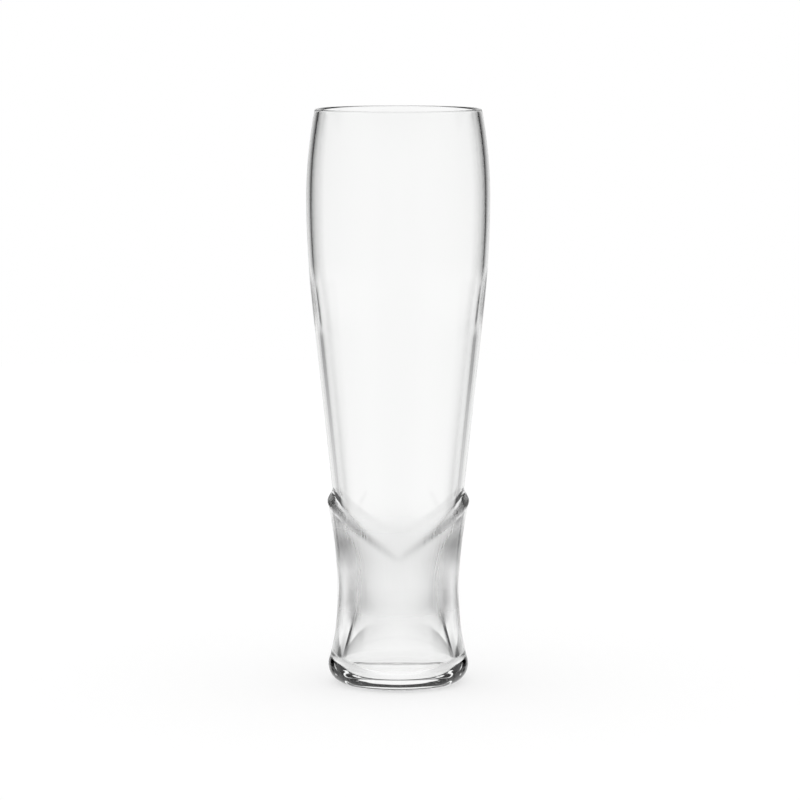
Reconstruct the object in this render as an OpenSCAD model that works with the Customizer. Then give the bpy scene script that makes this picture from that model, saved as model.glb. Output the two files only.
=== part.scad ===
// Tall wheat-beer glass: a thin blown bowl fused into a heavy waisted foot.
// The foot's collar rises to two ears, left and right, and drops to two V notches, front and back.

/* [Bowl] */
// Height of the whole glass
height = 225; // [200:1:250]
// Widest outside diameter
belly_d = 71.5; // [66:0.5:78]
// Height of the lip above the widest point
mouth_h = 35; // [25:1:50]
// Radius of the side above the widest point
shoulder_arc = 183; // [150:1:240]
// Radius of the side below the widest point
belly_arc = 385; // [300:5:450]
// Angle of the straight taper down to the foot
taper = 6.1; // [5:0.1:7]
// Wall at the lip and the belly
rim_wall = 1.9; // [1.4:0.1:2.4]
// Wall of the straight taper, measured level
taper_wall = 2.75; // [2:0.05:3.5]
// Length of the run where the wall thickens
swell_h = 28; // [16:1:40]
// Depth of that run's middle below the widest point
swell_drop = 39; // [30:1:50]

/* [Throat] */
// Bowl's glass between the throat and the foot
joint_wall = 6.5; // [4:0.1:9]
// Height of the joint between bowl and foot, at the top of the throat
throat_z = 38; // [34:0.5:42]
// Straight length of the throat below the joint
throat_h = 3.5; // [2:0.5:6]
// Angle of the funnel that leads down to the throat
funnel = 21; // [16:0.5:24]
// Radius where the funnel runs into the throat
funnel_arc = 35; // [25:1:40]
// Radius where the taper turns into the funnel
funnel_round = 30; // [15:1:40]

/* [Foot] */
// Foot's glass round the joint
waist_wall = 2.25; // [1.5:0.05:4]
// Height of the lower end of the waist
waist_z = 33; // [29:0.5:36]
// Straight length of the waist
waist_h = 4; // [2:0.5:6]
// Radius of the hollow side above the waist
sleeve_arc = 156; // [130:1:200]
// How far the base stands out from the waist
base_flare = 3.55; // [2:0.05:6]
// Radius of the heel
heel = 7.2; // [5:0.1:9]
// Width of the flat ring that the glass stands on
bearing_w = 2; // [1:0.1:4]
// Depth of the hollow underneath
punt_h = 1.4; // [0.6:0.1:2]

/* [Base chamber] */
// Glass under the inside floor
floor_t = 5; // [4:0.1:7]
// Angle at which the bore widens below the throat
flare = 16; // [12:0.5:20]
// Radius where the throat turns into the flare
flare_arc = 20; // [10:1:40]
// Radius between the flare and the floor
floor_round = 4.5; // [3:0.1:6]

/* [Collar] */
// Height of the collar's edge at the notches
notch_z = 54.7; // [51:0.1:58]
// Height of the collar's edge at the ears
ear_z = 77.2; // [72:0.1:84]
// Thickness of the edge, where the collar runs out on the bowl
edge_t = 0.3; // [0.2:0.05:0.6]
// Height of the soft shoulder under the edge
shoulder_h = 6; // [4:0.1:8]
// Share of the edge that is straight from the front; the rest is straight round the wall
edge_front_share = 0.5; // [0:0.05:1]
// Softness of the notch tips and ear tips
edge_soft_share = 0.002; // [0.001:0.001:0.02]

/* [Finish] */
// Segments in each arc of a profile
arc_steps = 12; // [8:1:24]
// Stations round the collar's edge
collar_steps = 96; // [48:4:144]
// Facets of a round face
$fn = 96; // [48:8:144]

/* [Hidden] */
// Outside of the straight taper, carried down into the foot's socket.
belly_r = belly_d / 2;
belly_z = height - mouth_h;
taper_gain = 1 / cos(taper) - 1;
function taper_r(z) = belly_r + belly_arc * taper_gain - (belly_z - z) * tan(taper);

// Radii that build on the bowl's seat in the foot.
seat_r = taper_r(throat_z);
throat_r = seat_r - joint_wall;
waist_r = seat_r + waist_wall;
base_r = waist_r + base_flare;

// Side of the bowl below the belly, and the wall behind it, which thickens from rim_wall to taper_wall.
taper_z = belly_z - belly_arc * sin(taper);
function side_r(z) = z < taper_z ? taper_r(z)
    : belly_r - belly_arc + sqrt(pow(belly_arc, 2) - pow(belly_z - z, 2));
swell_top = belly_z - swell_drop + swell_h / 2;
function swell_share(z) = (1 - cos(180 * max(0, min(1, (swell_top - z) / swell_h)))) / 2;
function wall(z) = rim_wall + (taper_wall - rim_wall) * swell_share(z);

// Angle up the shoulder to the middle of the lip.
lip_r = rim_wall / 2;
lip_angle = asin((height - lip_r - belly_z) / (shoulder_arc - lip_r));
lip_mid = [belly_r - shoulder_arc, belly_z] + (shoulder_arc - lip_r) * [cos(lip_angle), sin(lip_angle)];

// Corner between the inside taper and the funnel.
funnel_foot = [throat_r + funnel_arc * (1 - cos(funnel)), throat_z + funnel_arc * sin(funnel)];
inner_axis_r = taper_r(0) - taper_wall;
corner_z = (inner_axis_r - funnel_foot.x + funnel_foot.y * tan(funnel)) / (tan(funnel) - tan(taper));
corner_reach = funnel_round * tan((funnel - taper) / 2);
corner_mid = [inner_axis_r + corner_z * tan(taper), corner_z]
    + corner_reach * [sin(taper), cos(taper)] + funnel_round * [-cos(taper), sin(taper)];

// Arc of the foot below the waist, tangent to the waist and to the heel.
heel_mid = [base_r - heel, heel];
heel_gap = waist_r - heel_mid.x;
foot_arc = (heel_gap * heel_gap + pow(waist_z - heel, 2) - heel * heel) / (2 * (base_r - waist_r));
foot_mid = [waist_r + foot_arc, waist_z];
heel_angle = atan2(foot_mid.y - heel_mid.y, foot_mid.x - heel_mid.x);

// Underside of the base.
bearing_r = heel_mid.x - bearing_w;
punt_arc = (bearing_r * bearing_r + punt_h * punt_h) / (2 * punt_h);

// Side above the waist, drawn past the ears so that the collar's edge cuts it.
sleeve_z = waist_z + waist_h;
sleeve_top = ear_z + shoulder_h;
sleeve_mid = [waist_r + sleeve_arc, sleeve_z];
function sleeve_r(z) = waist_r + sleeve_arc - sqrt(pow(sleeve_arc, 2) - pow(z - sleeve_z, 2));

// Bore below the throat.
flare_z = throat_z - throat_h;
flare_foot = [throat_r + flare_arc * (1 - cos(flare)), flare_z - flare_arc * sin(flare)];
flare_len = (flare_foot.y - floor_t - floor_round * (1 + sin(flare))) / cos(flare);
floor_mid = [flare_foot.x + flare_len * sin(flare) - floor_round * cos(flare), floor_t + floor_round];

// Collar's edge by azimuth: ears along X, notches along Y.
function edge_share(a) = (1 - edge_front_share) * (1 - acos((1 - edge_soft_share) * cos(2 * a)) / 180)
    + edge_front_share * abs(cos(a));
function edge_z(a) = notch_z + (ear_z - notch_z) * edge_share(a);

// Shoulder: an S-shaped slope from the edge on the bowl's wall out to the side of the foot.
round_steps = 8;
skirt_r = base_r + heel;
function shoulder_point(a, s) = let (
        z = edge_z(a) - shoulder_h * s,
        r0 = taper_r(z) + edge_t,
        r = r0 + (sleeve_r(z) - r0) * (1 - cos(180 * s)) / 2
    ) [r * cos(a), r * sin(a), z];

function arc(mid, r, a0, a1) = [
    for (k = [0:arc_steps])
        let (a = a0 + (a1 - a0) * k / arc_steps) mid + r * [cos(a), sin(a)]
];

// Thin blown vessel, closed below only by the foot.
module bowl() {
    belly_mid = [belly_r - belly_arc, belly_z];
    shoulder_mid = [belly_r - shoulder_arc, belly_z];
    inner_step = (belly_z - swell_top + swell_h) / (2 * arc_steps);
    throat_mid = [throat_r + funnel_arc, throat_z];
    color([0.86, 0.92, 0.94, 0.5])
    rotate_extrude()
    polygon(concat(
        [[seat_r, throat_z]],
        arc(belly_mid, belly_arc, -taper, 0),
        arc(shoulder_mid, shoulder_arc, lip_angle / arc_steps, lip_angle),
        arc(lip_mid, lip_r, lip_angle + 180 / arc_steps, lip_angle + 180 - 180 / arc_steps),
        arc(shoulder_mid, shoulder_arc - rim_wall, lip_angle, lip_angle / arc_steps),
        [for (k = [0:2 * arc_steps]) let (z = belly_z - k * inner_step) [side_r(z) - wall(z), z]],
        arc(corner_mid, funnel_round, -taper, -funnel),
        arc(throat_mid, funnel_arc, 180 - funnel, 180)
    ));
}

// Soft, V-edged crown that trims the top of the foot.
module crown() {
    n = collar_steps;
    azimuths = [for (k = [0:n - 1]) 360 * k / n];
    rings = concat(
        [[for (a = azimuths) [skirt_r * cos(a), skirt_r * sin(a), -heel]]],
        [[for (a = azimuths) [skirt_r * cos(a), skirt_r * sin(a), edge_z(a) - 2 * shoulder_h]]],
        [for (j = [round_steps:-1:0]) [for (a = azimuths) shoulder_point(a, j / round_steps)]],
        [[for (a = azimuths) let (r = taper_r(edge_z(a)) - rim_wall) [r * cos(a), r * sin(a), edge_z(a)]]]
    );
    last = len(rings) - 1;
    points = concat([for (ring = rings) each ring], [[0, 0, ear_z]]);
    apex = len(points) - 1;
    polyhedron(points, concat(
        [[for (k = [0:n - 1]) k]],
        [for (i = [0:last - 1], k = [0:n - 1]) [i * n + k, (i + 1) * n + k, i * n + (k + 1) % n]],
        [for (i = [0:last - 1], k = [0:n - 1])
            [i * n + (k + 1) % n, (i + 1) * n + k, (i + 1) * n + (k + 1) % n]],
        [for (k = [0:n - 1]) [last * n + k, apex, last * n + (k + 1) % n]]
    ));
}

// Outside of the foot, before the collar's edge is cut.
module foot_body() {
    rotate_extrude()
    polygon(concat(
        arc([0, punt_h - punt_arc], punt_arc, 90, atan2(punt_arc - punt_h, bearing_r)),
        arc(heel_mid, heel, -90, heel_angle),
        arc(foot_mid, foot_arc, 180 + heel_angle, 180),
        arc(sleeve_mid, sleeve_arc, 180, 180 - asin((sleeve_top - sleeve_z) / sleeve_arc)),
        [[0, sleeve_top]]
    ));
}

// Socket for the bowl, throat, chamber and floor.
module foot_bore() {
    rotate_extrude()
    polygon(concat(
        [[0, floor_t]],
        arc(floor_mid, floor_round, -90, flare),
        arc([throat_r + flare_arc, flare_z], flare_arc, 180 + flare, 180),
        [
            [throat_r, throat_z],
            [seat_r, throat_z],
            [taper_r(sleeve_top + heel), sleeve_top + heel],
            [0, sleeve_top + heel]
        ]
    ));
}

// Heavy foot with a sculpted collar round the bowl.
module foot() {
    color([0.8, 0.88, 0.9, 0.6])
    difference() {
        intersection() {
            foot_body();
            crown();
        }
        foot_bore();
    }
}

bowl();
foot();
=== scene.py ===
"""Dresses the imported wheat-beer glass: clear glass meshes for bowl and foot, a white studio and the camera."""

import math

import bmesh
import bpy
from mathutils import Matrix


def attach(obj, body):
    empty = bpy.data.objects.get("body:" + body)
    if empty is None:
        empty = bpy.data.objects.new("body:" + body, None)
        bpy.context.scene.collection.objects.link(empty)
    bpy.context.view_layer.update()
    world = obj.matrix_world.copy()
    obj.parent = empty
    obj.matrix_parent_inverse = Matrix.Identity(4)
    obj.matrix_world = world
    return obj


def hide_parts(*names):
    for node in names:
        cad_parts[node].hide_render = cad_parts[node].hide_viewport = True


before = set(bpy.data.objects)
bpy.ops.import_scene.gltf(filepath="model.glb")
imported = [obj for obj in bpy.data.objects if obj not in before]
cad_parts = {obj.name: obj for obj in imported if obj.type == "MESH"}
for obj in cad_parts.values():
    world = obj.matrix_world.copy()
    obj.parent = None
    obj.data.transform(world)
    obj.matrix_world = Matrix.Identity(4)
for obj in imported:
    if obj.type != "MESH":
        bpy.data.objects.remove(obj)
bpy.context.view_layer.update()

MM = 0.001

# Bowl, in millimetres, as in the part's source
HEIGHT = 225.0
BELLY_R = 35.75
MOUTH_H = 35.0
SHOULDER_ARC = 183.0
BELLY_ARC = 385.0
TAPER = math.radians(6.1)
RIM_WALL = 1.9
TAPER_WALL = 2.75
SWELL_H = 28.0
SWELL_DROP = 39.0

# Throat
JOINT_WALL = 6.5
THROAT_Z = 38.0
THROAT_H = 3.5
FUNNEL = math.radians(21.0)
FUNNEL_ARC = 35.0
FUNNEL_ROUND = 30.0

# Foot
WAIST_WALL = 2.25
WAIST_Z = 33.0
WAIST_H = 4.0
SLEEVE_ARC = 156.0
BASE_FLARE = 3.55
HEEL = 7.2
BEARING_W = 2.0
PUNT_H = 1.4

# Base chamber
FLOOR_T = 5.0
FLARE = math.radians(16.0)
FLARE_ARC = 20.0
FLOOR_ROUND = 4.5

# Collar
NOTCH_Z = 54.7
EAR_Z = 77.2
SHOULDER_H = 6.0
EDGE_FRONT_SHARE = 0.5
EDGE_SOFT_SHARE = 0.002

# Worked-out sizes
BELLY_Z = HEIGHT - MOUTH_H
TAPER_GAIN = 1 / math.cos(TAPER) - 1
SEAT_R = BELLY_R + BELLY_ARC * TAPER_GAIN - (BELLY_Z - THROAT_Z) * math.tan(TAPER)
THROAT_R = SEAT_R - JOINT_WALL
WAIST_R = SEAT_R + WAIST_WALL
BASE_R = WAIST_R + BASE_FLARE
TAPER_Z = BELLY_Z - BELLY_ARC * math.sin(TAPER)
SWELL_TOP = BELLY_Z - SWELL_DROP + SWELL_H / 2
LIP_R = RIM_WALL / 2
LIP_ANGLE = math.asin((HEIGHT - LIP_R - BELLY_Z) / (SHOULDER_ARC - LIP_R))
SLEEVE_Z = WAIST_Z + WAIST_H

# Easing of the bends inside the glass: how far it reaches and how close its points lie, in millimetres
EASE_REACH = 5.0
EASE_STEP = 0.5
EASE_TAPS = 8

# Sections round the axis
AZIMUTHS = 288

# Steps along each run of a section of the bowl
BELLY_STEPS = 40
SHOULDER_STEPS = 40
LIP_STEPS = 32
SWELL_STEPS = 50
TAPER_STEPS = 40
CORNER_STEPS = 12
FUNNEL_STEPS = 10
THROAT_STEPS = 20
WALL_STEPS = 50

# Steps along each run of a section of the foot
PUNT_STEPS = 24
BEARING_STEPS = 4
HEEL_STEPS = 40
SIDE_STEPS = 30
SLEEVE_STEPS = 40
COLLAR_STEPS = 24
BORE_STEPS = 4
BEND_STEPS = 20
FLARE_STEPS = 16
ROUND_STEPS = 24
FLOOR_STEPS = 10

# Steps along the fused joint: up the conical seat and across its lower end
SEAT_STEPS = 16
SEAT_END_STEPS = 6

# Clear glass
IOR = 1.52
BLOWN_TINT = (0.985, 0.987, 0.985)
MOULDED_TINT = (0.98, 0.982, 0.98)

# Faint waves all over the glass, drawn out along the axis, with their depth in millimetres
WAVE_SCALE = 90
WAVE_DETAIL = 1
WAVE_STRENGTH = 0.02
WAVE_DEPTH = 1.0
WAVE_STRETCH = 0.35

# Unpolished throat, in millimetres: its faces lie inside this radius, and these are the heights where it starts,
# is full, is still full and ends
THROAT_REACH = 22.6
THROAT_HEIGHTS = (18.0, 33.0, 57.0, 76.0)
THROAT_ROUGHNESS = 0.34

# Upright streaks in the throat, with their depth in millimetres
STREAK_SCALE = 14.0
STREAK_DETAIL = 2
STREAK_DEPTH = 0.07

# Table top: radius, points of its rim, depth below the glass, grey shade and own light, lengths in millimetres
TABLE_R = 1200.0
TABLE_RIM = 96
TABLE_DROP = 0.02
TABLE_SHADE = 0.45
TABLE_GLOW = 0.57

# Dark cards in the white room that the glass shows. Each has its azimuths, counted to both sides from straight
# behind the glass, where it starts, is full, is still full and ends, its elevations in the same order, all in
# degrees, and its darkness.
CARDS = (
    # dark strip beside the panel behind
    ((28, 32, 43, 50), (-14, -5, 4.5, 6.5), 0.97),
    # dark strip lower down
    ((31, 34, 39, 43), (-21, -16, -14, -11), 0.9),
    # dark strip higher up
    ((48, 50, 57.9, 62.6), (3.5, 11.7, 19.5, 20.6), 1),
    # panel behind falling off to its sides
    ((-5.5, 42.2, 42.2, 44.4), (-14.9, 4, 4, 5.1), 1),
    # corner of the room
    ((20.8, 44.1, 52.4, 57.4), (-16, -6, 4.8, 17.3), 0.55),
    # ceiling at the sides
    ((20.8, 22.8, 94.5, 96.6), (19.4, 22.5, 89, 90), 1),
    # ceiling above the camera
    ((110.5, 112.5, 180.8, 183), (8.9, 44.8, 89, 92.5), 1),
    # floor falling off to the sides
    ((-14, 68, 82, 88), (-86, -15, -15, -12), 0.4),
    # camera's surroundings
    ((128.3, 180, 180, 181), (-36, -31, -26, 9), 0.3),
    # ceiling behind
    ((-1.7, 2, 21.2, 25.4), (42.9, 53.7, 89, 90), 1),
)

# Light bounces: few glossy ones, so that the heel stays dark
BOUNCES = 40
GLOSSY_BOUNCES = 5

# Camera, fitted to the photograph: place and sensor in millimetres, pitch in degrees, the rest in pixels
CAMERA_SIDE = 0.66
CAMERA_DISTANCE = 1459.6
CAMERA_HEIGHT = 281.1
CAMERA_PITCH = 6.632
SENSOR = 36.0
FOCAL_PX = 3761.0
FRAME_PX = 800


def taper_r(z):
    """Outside radius of the bowl's straight taper, carried down into the foot."""
    return SEAT_R + (z - THROAT_Z) * math.tan(TAPER)


def side_r(z):
    """Outside radius of the bowl below its widest point."""
    if z < TAPER_Z:
        return taper_r(z)
    return BELLY_R - BELLY_ARC + math.sqrt(BELLY_ARC**2 - (BELLY_Z - z) ** 2)


def wall(z):
    """Level wall of the bowl below its widest point, where it thickens towards the taper."""
    swell = min(1, max(0, (SWELL_TOP - z) / SWELL_H))
    return RIM_WALL + (TAPER_WALL - RIM_WALL) * (1 - math.cos(math.pi * swell)) / 2


def sleeve_r(z):
    """Outside radius of the foot above its waist."""
    return WAIST_R + SLEEVE_ARC - math.sqrt(SLEEVE_ARC**2 - (z - SLEEVE_Z) ** 2)


def edge_z(a):
    """Height of the collar's edge at azimuth a: ears along X, notches along Y."""
    wrapped = 1 - math.acos((1 - EDGE_SOFT_SHARE) * math.cos(2 * a)) / math.pi
    share = (1 - EDGE_FRONT_SHARE) * wrapped + EDGE_FRONT_SHARE * abs(math.cos(a))
    return NOTCH_Z + (EAR_Z - NOTCH_Z) * share


def arc(mid, r, start, end, steps):
    """Points of an arc in the radius and height plane."""
    angles = [start + (end - start) * k / steps for k in range(steps + 1)]
    return [(mid[0] + r * math.cos(t), mid[1] + r * math.sin(t)) for t in angles]


def spread(start, end, steps):
    """Points of a straight run in the radius and height plane."""
    return [
        tuple(p + (q - p) * k / steps for p, q in zip(start, end))
        for k in range(steps + 1)
    ]


def radius_at(line, z):
    """Radius at height z on a falling run of points; past an end the run goes on turned about that end."""
    (top_r, top_z), (foot_r, foot_z) = line[0], line[-1]
    if z > top_z:
        return 2 * top_r - radius_at(line, 2 * top_z - z)
    if z < foot_z:
        return 2 * foot_r - radius_at(line, 2 * foot_z - z)
    for (r0, z0), (r1, z1) in zip(line, line[1:]):
        if z1 <= z:
            return r0 + (r1 - r0) * (z0 - z) / (z0 - z1)
    return foot_r


def eased(line):
    """A falling run of points whose bends run into each other without a hard start or end."""
    height = line[0][1] - line[-1][1]
    steps = round(height / EASE_STEP)
    taps = range(-EASE_TAPS, EASE_TAPS + 1)
    shares = [1 + math.cos(math.pi * tap / (EASE_TAPS + 1)) for tap in taps]
    run = []
    for k in range(steps + 1):
        z = line[0][1] - height * k / steps
        near = [radius_at(line, z + EASE_REACH * tap / EASE_TAPS) for tap in taps]
        run.append((sum(share * r for share, r in zip(shares, near)) / sum(shares), z))
    return run


def outer_side():
    """Outside of the bowl above the straight taper, up to the lip."""
    belly_mid = (BELLY_R - BELLY_ARC, BELLY_Z)
    shoulder_mid = (BELLY_R - SHOULDER_ARC, BELLY_Z)
    belly = arc(belly_mid, BELLY_ARC, -TAPER, 0, BELLY_STEPS)
    return belly + arc(shoulder_mid, SHOULDER_ARC, 0, LIP_ANGLE, SHOULDER_STEPS)[1:]


def lip():
    """Round lip, from the outside over the top to the inside."""
    reach = SHOULDER_ARC - LIP_R
    mid = (
        BELLY_R - SHOULDER_ARC + reach * math.cos(LIP_ANGLE),
        BELLY_Z + reach * math.sin(LIP_ANGLE),
    )
    return arc(mid, LIP_R, LIP_ANGLE, LIP_ANGLE + math.pi, LIP_STEPS)[1:-1]


def inner_side():
    """Inside of the bowl from the lip down to the throat."""
    shoulder_mid = (BELLY_R - SHOULDER_ARC, BELLY_Z)
    throat_mid = (THROAT_R + FUNNEL_ARC, THROAT_Z)
    funnel_foot = (
        THROAT_R + FUNNEL_ARC * (1 - math.cos(FUNNEL)),
        THROAT_Z + FUNNEL_ARC * math.sin(FUNNEL),
    )
    axis_r = taper_r(0) - TAPER_WALL
    corner_z = (axis_r - funnel_foot[0] + funnel_foot[1] * math.tan(FUNNEL)) / (
        math.tan(FUNNEL) - math.tan(TAPER)
    )
    reach = FUNNEL_ROUND * math.tan((FUNNEL - TAPER) / 2)
    corner_mid = (
        axis_r + corner_z * math.tan(TAPER) + reach * math.sin(TAPER) - FUNNEL_ROUND * math.cos(TAPER),
        corner_z + reach * math.cos(TAPER) + FUNNEL_ROUND * math.sin(TAPER),
    )
    top = arc(shoulder_mid, SHOULDER_ARC - RIM_WALL, LIP_ANGLE, 0, SHOULDER_STEPS)
    swell_foot = SWELL_TOP - SWELL_H
    heights = [BELLY_Z + (swell_foot - BELLY_Z) * k / SWELL_STEPS for k in range(SWELL_STEPS + 1)]
    belly = [(side_r(z) - wall(z), z) for z in heights]
    corner = arc(corner_mid, FUNNEL_ROUND, -TAPER, -FUNNEL, CORNER_STEPS)
    throat = arc(throat_mid, FUNNEL_ARC, math.pi - FUNNEL, math.pi, THROAT_STEPS)
    taper = spread(belly[-1], corner[0], TAPER_STEPS)
    funnel = spread(corner[-1], throat[0], FUNNEL_STEPS)
    half = TAPER_STEPS // 2
    return top + belly[1:] + taper[1:half] + eased(taper[half:] + corner[1:] + funnel[1:] + throat[1:])


def under_side():
    """Underside of the foot from the axis out to the waist: punt, bearing ring, heel and flared side."""
    heel_mid = (BASE_R - HEEL, HEEL)
    gap = WAIST_R - heel_mid[0]
    foot_arc = (gap**2 + (WAIST_Z - HEEL) ** 2 - HEEL**2) / (2 * (BASE_R - WAIST_R))
    foot_mid = (WAIST_R + foot_arc, WAIST_Z)
    heel_angle = math.atan2(foot_mid[1] - heel_mid[1], foot_mid[0] - heel_mid[0])
    bearing_r = heel_mid[0] - BEARING_W
    punt_arc = (bearing_r**2 + PUNT_H**2) / (2 * PUNT_H)
    punt_end = math.atan2(punt_arc - PUNT_H, bearing_r)
    punt = arc((0, PUNT_H - punt_arc), punt_arc, math.pi / 2, punt_end, PUNT_STEPS)
    ring = spread(punt[-1], (heel_mid[0], 0), BEARING_STEPS)
    heel = arc(heel_mid, HEEL, -math.pi / 2, heel_angle, HEEL_STEPS)
    side = arc(foot_mid, foot_arc, math.pi + heel_angle, math.pi, SIDE_STEPS)
    return punt + ring[1:] + heel[1:] + side[1:]


def bore_side():
    """Bore of the foot from the throat down to the middle of the floor."""
    flare_z = THROAT_Z - THROAT_H
    flare_foot = (
        THROAT_R + FLARE_ARC * (1 - math.cos(FLARE)),
        flare_z - FLARE_ARC * math.sin(FLARE),
    )
    length = (flare_foot[1] - FLOOR_T - FLOOR_ROUND * (1 + math.sin(FLARE))) / math.cos(FLARE)
    floor_mid = (
        flare_foot[0] + length * math.sin(FLARE) - FLOOR_ROUND * math.cos(FLARE),
        FLOOR_T + FLOOR_ROUND,
    )
    throat = spread((THROAT_R, THROAT_Z), (THROAT_R, flare_z), BORE_STEPS)
    bend = arc((THROAT_R + FLARE_ARC, flare_z), FLARE_ARC, math.pi, math.pi + FLARE, BEND_STEPS)
    corner = arc(floor_mid, FLOOR_ROUND, FLARE, -math.pi / 2, ROUND_STEPS)
    flare = spread(bend[-1], corner[0], FLARE_STEPS)
    floor = spread(corner[-1], (0, FLOOR_T), FLOOR_STEPS)
    return eased(throat + bend[1:] + flare[1:]) + corner[1:] + floor[1:]


def shoulder(a):
    """Collar at azimuth a, from the foot's side up over the soft shoulder to where it runs out on the bowl."""
    top = edge_z(a)
    line = []
    for k in range(COLLAR_STEPS + 1):
        z = top + SHOULDER_H * (k / COLLAR_STEPS - 1)
        relief = (1 + math.cos(math.pi * k / COLLAR_STEPS)) / 2
        line.append((taper_r(z) + (sleeve_r(z) - taper_r(z)) * relief, z))
    return line


def bowl_loop(a):
    """Closed section of the bowl at azimuth a, and the rows of it that lie in the fused joint."""
    foot = (SEAT_R, THROAT_Z)
    edge = (taper_r(edge_z(a)), edge_z(a))
    joint = spread((THROAT_R, THROAT_Z), foot, SEAT_END_STEPS) + spread(foot, edge, SEAT_STEPS)[1:]
    side = outer_side()
    taper = spread(edge, side[0], WALL_STEPS)
    return joint + taper[1:] + side[1:] + lip() + inner_side()[:-1], range(len(joint) - 1)


def foot_line(a):
    """Section of the foot at azimuth a, from the axis below to the axis above, and its rows in the joint."""
    collar = shoulder(a)
    sleeve = []
    for k in range(1, SLEEVE_STEPS):
        z = WAIST_Z + (collar[0][1] - WAIST_Z) * k / SLEEVE_STEPS
        sleeve.append((WAIST_R if z < SLEEVE_Z else sleeve_r(z), z))
    skin = under_side() + sleeve + collar
    foot = (SEAT_R, THROAT_Z)
    seat = spread(collar[-1], foot, SEAT_STEPS)
    joint = seat[1:] + spread(foot, (THROAT_R, THROAT_Z), SEAT_END_STEPS)[1:]
    return skin + joint + bore_side()[1:], range(len(skin) - 1, len(skin) + len(joint) - 1)


def sharpen_joint(mesh):
    """Keeps the shading of the skin free of the joint's faces where the two meet."""
    shape = bmesh.new()
    shape.from_mesh(mesh)
    for edge in shape.edges:
        edge.smooth = len({face.material_index for face in edge.link_faces}) == 1
    shape.to_mesh(mesh)
    shape.free()


def revolved(name, sections, materials, polar):
    """Mesh piece from one section per azimuth. A polar section runs from axis to axis, any other is a loop.

    Each section comes with its rows in the fused joint, whose faces take the second material.
    """
    lines = [line for line, _ in sections]
    joint_rows = sections[0][1]
    count = len(lines)
    rows = len(lines[0])
    first, last = (1, rows - 2) if polar else (0, rows - 1)

    def at(row, station):
        """Index of the vertex in a row at an azimuth's station."""
        return (row % rows - first) * count + station % count

    verts = []
    for row in range(first, last + 1):
        for i, line in enumerate(lines):
            a = 2 * math.pi * i / count
            r, z = line[row]
            verts.append((r * math.cos(a) * MM, r * math.sin(a) * MM, z * MM))
    faces = []
    face_rows = []
    for row in range(first, last if polar else rows):
        for i in range(count):
            faces.append((at(row, i), at(row, i + 1), at(row + 1, i + 1), at(row + 1, i)))
            face_rows.append(row)
    if polar:
        for row, end in ((first, 0), (last, -1)):
            pole = len(verts)
            verts.append((0, 0, lines[0][end][1] * MM))
            for i in range(count):
                pair = (at(row, i), at(row, i + 1))
                faces.append((pole, *pair) if row == last else (pole, *reversed(pair)))
                face_rows.append(row)
    mesh = bpy.data.meshes.new(name)
    mesh.from_pydata(verts, [], faces)
    for material in materials:
        mesh.materials.append(material)
    mesh.polygons.foreach_set("use_smooth", [True] * len(faces))
    mesh.polygons.foreach_set("material_index", [int(row in joint_rows) for row in face_rows])
    mesh.update()
    sharpen_joint(mesh)
    piece = bpy.data.objects.new(name, mesh)
    bpy.context.scene.collection.objects.link(piece)
    return piece


def feed(tree, value, socket):
    """Sets a socket to a number, or links another socket to it."""
    if isinstance(value, (int, float)):
        socket.default_value = value
    else:
        tree.links.new(value, socket)


def maths(tree, operation, *values):
    """Math node over numbers and sockets."""
    node = tree.nodes.new("ShaderNodeMath")
    node.operation = operation
    for socket, value in zip(node.inputs, values):
        feed(tree, value, socket)
    return node.outputs[0]


def vector_maths(tree, operation, vector):
    """Vector Math node over one vector."""
    node = tree.nodes.new("ShaderNodeVectorMath")
    node.operation = operation
    tree.links.new(vector, node.inputs[0])
    return node


def soft_step(tree, value, start, end):
    """0 to 1 between start and end, or 1 to 0 when start lies above end."""
    node = tree.nodes.new("ShaderNodeMapRange")
    node.interpolation_type = "SMOOTHSTEP"
    node.inputs["From Min"].default_value = min(start, end)
    node.inputs["From Max"].default_value = max(start, end)
    node.inputs["To Min"].default_value = float(start > end)
    node.inputs["To Max"].default_value = float(start < end)
    tree.links.new(value, node.inputs["Value"])
    return node.outputs["Result"]


def between(tree, value, edges):
    """1 between the inner edges, with soft runs out to the outer ones."""
    start, full, still, end = edges
    return maths(tree, "MULTIPLY", soft_step(tree, value, start, full), soft_step(tree, value, end, still))


def bumped(tree, vector, scale, detail, strength, depth):
    """Bump node over noise, with its depth in millimetres."""
    noise = tree.nodes.new("ShaderNodeTexNoise")
    noise.inputs["Scale"].default_value = scale
    noise.inputs["Detail"].default_value = detail
    tree.links.new(vector, noise.inputs["Vector"])
    bump = tree.nodes.new("ShaderNodeBump")
    bump.inputs["Distance"].default_value = depth * MM
    feed(tree, strength, bump.inputs["Strength"])
    tree.links.new(noise.outputs["Fac"], bump.inputs["Height"])
    return bump


def seen_in_glass(tree):
    """1 for rays that the glass has bent or reflected."""
    path = tree.nodes.new("ShaderNodeLightPath")
    return maths(tree, "MAXIMUM", path.outputs["Is Glossy Ray"], path.outputs["Is Transmission Ray"])


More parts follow.
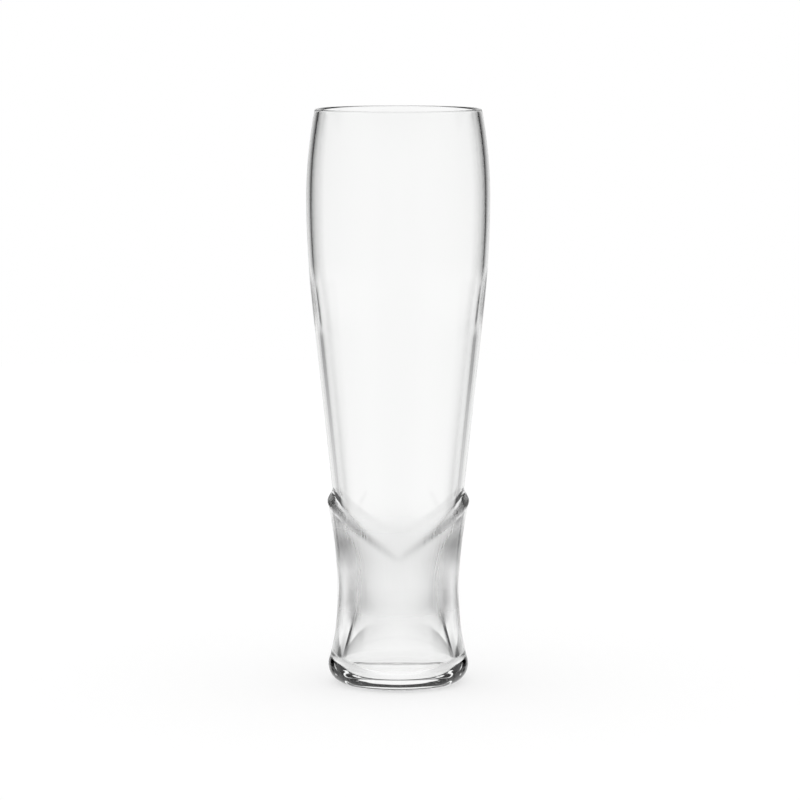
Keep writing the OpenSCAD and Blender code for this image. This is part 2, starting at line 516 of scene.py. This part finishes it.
def glass_material(name, tint):
    """Clear glass with faint waves, unpolished in the throat, with upright streaks from the mould."""
    material = bpy.data.materials.new(name)
    material.use_nodes = True
    tree = material.node_tree
    nodes = tree.nodes
    links = tree.links
    shader = nodes["Principled BSDF"]
    shader.inputs["Base Color"].default_value = (*tint, 1)
    shader.inputs["IOR"].default_value = IOR
    shader.inputs["Transmission Weight"].default_value = 1
    place = nodes.new("ShaderNodeTexCoord").outputs["Object"]
    parts = nodes.new("ShaderNodeSeparateXYZ")
    links.new(place, parts.inputs[0])
    flat = nodes.new("ShaderNodeCombineXYZ")
    links.new(parts.outputs["X"], flat.inputs["X"])
    links.new(parts.outputs["Y"], flat.inputs["Y"])
    radius = vector_maths(tree, "LENGTH", flat.outputs[0]).outputs["Value"]
    inside = maths(tree, "LESS_THAN", radius, THROAT_REACH * MM)
    level = between(tree, parts.outputs["Z"], [z * MM for z in THROAT_HEIGHTS])
    throat = maths(tree, "MULTIPLY", level, inside)
    links.new(maths(tree, "MULTIPLY", throat, THROAT_ROUGHNESS), shader.inputs["Roughness"])
    stretch = nodes.new("ShaderNodeMapping")
    stretch.inputs["Scale"].default_value = (1, 1, WAVE_STRETCH)
    links.new(place, stretch.inputs["Vector"])
    waves = bumped(tree, stretch.outputs["Vector"], WAVE_SCALE, WAVE_DETAIL, WAVE_STRENGTH, WAVE_DEPTH)
    round_axis = vector_maths(tree, "NORMALIZE", flat.outputs[0]).outputs["Vector"]
    streaks = bumped(tree, round_axis, STREAK_SCALE, STREAK_DETAIL, throat, STREAK_DEPTH)
    links.new(waves.outputs["Normal"], streaks.inputs["Normal"])
    links.new(streaks.outputs["Normal"], shader.inputs["Normal"])
    return material


def joint_material():
    """Faces inside the fused joint, where glass meets glass and nothing shows."""
    material = bpy.data.materials.new("fused_joint")
    material.use_nodes = True
    material.node_tree.nodes["Principled BSDF"].inputs["Alpha"].default_value = 0
    return material


def make_glass():
    """Bowl and foot, each with a clear skin and unseen faces in the fused joint."""
    joint = joint_material()
    blown = [glass_material("blown_glass", BLOWN_TINT), joint]
    moulded = [glass_material("moulded_glass", MOULDED_TINT), joint]
    azimuths = [2 * math.pi * i / AZIMUTHS for i in range(AZIMUTHS)]
    bowl = revolved("bowl_glass", [bowl_loop(a) for a in azimuths], blown, polar=False)
    foot = revolved("foot_glass", [foot_line(a) for a in azimuths], moulded, polar=True)
    for piece, node, slot in ((bowl, "bowl", "bowl_glass"), (foot, "foot", "foot_glass")):
        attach(piece, "root")
        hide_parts(node)


def make_floor():
    """Round white table top that keeps the glass's shadow. Rays that the glass bent or reflected miss it."""
    angles = [2 * math.pi * k / TABLE_RIM for k in range(TABLE_RIM)]
    verts = [(TABLE_R * MM * math.cos(t), TABLE_R * MM * math.sin(t), 0) for t in angles]
    mesh = bpy.data.meshes.new("table_top")
    mesh.from_pydata(verts, [], [tuple(range(TABLE_RIM))])
    floor = bpy.data.objects.new("table_top", mesh)
    floor.location.z = -TABLE_DROP * MM
    bpy.context.scene.collection.objects.link(floor)
    material = bpy.data.materials.new("white_top")
    material.use_nodes = True
    nodes = material.node_tree.nodes
    links = material.node_tree.links
    shader = nodes["Principled BSDF"]
    shader.inputs["Base Color"].default_value = (TABLE_SHADE, TABLE_SHADE, TABLE_SHADE, 1)
    shader.inputs["Roughness"].default_value = 1
    shader.inputs["Specular IOR Level"].default_value = 0
    shader.inputs["Emission Color"].default_value = (1, 1, 1, 1)
    shader.inputs["Emission Strength"].default_value = TABLE_GLOW
    clear = nodes.new("ShaderNodeBsdfTransparent")
    shown = nodes.new("ShaderNodeMixShader")
    links.new(seen_in_glass(material.node_tree), shown.inputs["Fac"])
    links.new(shader.outputs[0], shown.inputs[1])
    links.new(clear.outputs[0], shown.inputs[2])
    links.new(shown.outputs[0], nodes["Material Output"].inputs["Surface"])
    mesh.materials.append(material)


def make_world():
    """White surroundings; the glass shows them as a white room with a few soft dark cards."""
    world = bpy.data.worlds.new("studio")
    bpy.context.scene.world = world
    world.use_nodes = True
    tree = world.node_tree
    place = tree.nodes.new("ShaderNodeTexCoord")
    parts = tree.nodes.new("ShaderNodeSeparateXYZ")
    tree.links.new(place.outputs["Generated"], parts.inputs[0])
    bearing = maths(tree, "ABSOLUTE", maths(tree, "ARCTAN2", parts.outputs["X"], parts.outputs["Y"]))
    azimuth = maths(tree, "DEGREES", bearing)
    elevation = maths(tree, "DEGREES", maths(tree, "ARCSINE", parts.outputs["Z"]))
    in_glass = seen_in_glass(tree)
    level = 1
    for azimuths, elevations, darkness in CARDS:
        across = between(tree, azimuth, azimuths)
        card = maths(tree, "MULTIPLY", across, between(tree, elevation, elevations))
        shade = maths(tree, "MULTIPLY", maths(tree, "MULTIPLY", card, darkness), in_glass)
        level = maths(tree, "MULTIPLY", level, maths(tree, "SUBTRACT", 1, shade))
    tree.links.new(level, tree.nodes["Background"].inputs["Color"])


def make_camera():
    """Camera in front of the glass and a little above it, as the photograph was taken."""
    data = bpy.data.cameras.new("camera")
    data.sensor_width = SENSOR
    data.lens = FOCAL_PX / FRAME_PX * SENSOR
    camera = bpy.data.objects.new("camera", data)
    camera.location = (CAMERA_SIDE * MM, -CAMERA_DISTANCE * MM, CAMERA_HEIGHT * MM)
    camera.rotation_euler = (math.radians(90 - CAMERA_PITCH), 0, 0)
    bpy.context.scene.collection.objects.link(camera)
    bpy.context.scene.camera = camera


def make_studio():
    """Table top, surroundings, camera and how far light is followed through the glass."""
    scene = bpy.context.scene
    scene.view_settings.view_transform = "Standard"
    scene.cycles.max_bounces = BOUNCES
    scene.cycles.transmission_bounces = BOUNCES
    scene.cycles.glossy_bounces = GLOSSY_BOUNCES
    scene.cycles.transparent_max_bounces = BOUNCES
    make_floor()
    make_world()
    make_camera()


make_glass()
make_studio()
